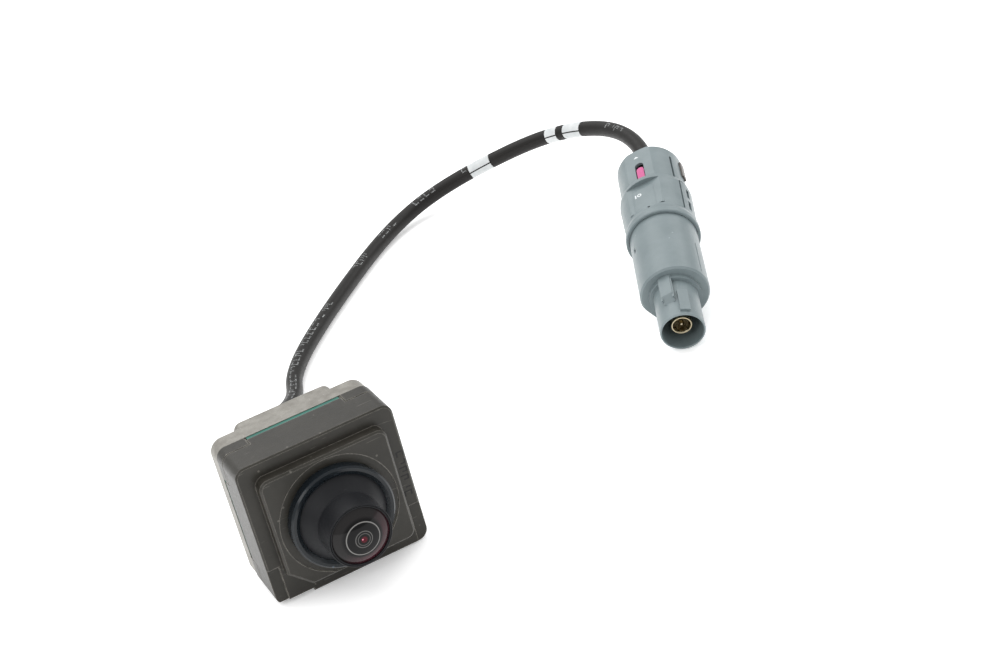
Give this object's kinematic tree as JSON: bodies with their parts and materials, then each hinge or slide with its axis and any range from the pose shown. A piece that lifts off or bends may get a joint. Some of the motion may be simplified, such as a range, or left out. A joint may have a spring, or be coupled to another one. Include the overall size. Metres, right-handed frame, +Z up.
{
  "type": "backup camera",
  "caption": "Square vehicle camera module with a wide-angle lens, cast rear housing, short coaxial lead and a round keyed waterproof plug with a sliding lock.",
  "frame": {"origin": "bottom centre of the camera module's box, from the dome of the lens to the end of the cable boot, on the ground that the module stands on", "axes": "-Y is the way the lens looks, +Z up, +X to the right as seen from in front of the lens with the lens looking at the viewer along -Y; the lead leaves along +Y"},
  "size_m": [0.1193, 0.1337, 0.0266],
  "materials": {
    "case_plastic": "satin moulded dark olive-black",
    "gasket_green": "soft teal silicone",
    "cast_aluminium": "die-cast, fine grain",
    "screw_steel": "zinc plated",
    "gloss_ring": "high gloss black",
    "barrel_black": "matte black",
    "lens_glass": "coated optical glass",
    "filter_glass": "coated filter glass",
    "spacer_metal": "fine turned",
    "seal_rubber": "matte black",
    "sensor_package": "ceramic package",
    "board_green": "solder mask",
    "tin_plate": "tinned",
    "connector_black": "moulded",
    "pad_grey": "soft gap pad",
    "contact_brass": "plated brass",
    "lead_jacket": "satin black jacket",
    "boot_rubber": "matte rubber",
    "plug_grey": "satin blue-grey",
    "tab_brown": "satin",
    "lock_pink": "satin pink",
    "insulator_white": "natural white"
  },
  "bodies": {
    "camera_and_lead": {"aperture_stop": "barrel_black", "board_header": "connector_black", "board_jack": "contact_brass", "board_screws": "screw_steel", "board_socket": "connector_black", "cable_boot": "boot_rubber", "centre_pin": "contact_brass", "contact_insulator": "insulator_white", "fourth_lens": "lens_glass", "front_housing": "case_plastic", "front_lens": "lens_glass", "front_spacer": "spacer_metal", "housing_gasket": "gasket_green", "housing_screws": "screw_steel", "image_sensor": "sensor_package", "infrared_filter": "filter_glass", "lead_cable": "lead_jacket", "lens_barrel": "barrel_black", "lens_bezel": "gloss_ring", "lens_clip": "barrel_black", "lens_holder": "barrel_black", "lens_o_ring": "seal_rubber", "lens_retainer": "barrel_black", "middle_spacer": "barrel_black", "module_coax_plug": "contact_brass", "module_ferrule": "contact_brass", "module_lead_end": "lead_jacket", "outer_contact": "contact_brass", "plug_body": "plug_grey", "plug_ferrule": "contact_brass", "plug_lead_end": "lead_jacket", "plug_sleeve": "plug_grey", "rear_board": "board_green", "rear_cap": "plug_grey", "rear_housing": "cast_aluminium", "rear_spacer": "barrel_black", "second_lens": "lens_glass", "sensor_board": "board_green", "sensor_glass": "filter_glass", "serializer_chip": "connector_black", "shield_can": "tin_plate", "side_tab": "tab_brown", "sleeve_seal": "seal_rubber", "thermal_pad": "pad_grey", "third_lens": "lens_glass", "wire_seal": "seal_rubber"},
    "lock": {"secondary_lock": "lock_pink"}
  },
  "joints": [
    {"name": "lock_slide", "type": "slide", "parent": "camera_and_lead", "child": "lock", "axis": [0.4233, 0.8796, 0.2169], "range_m": [0, 0.001]}
  ]
}
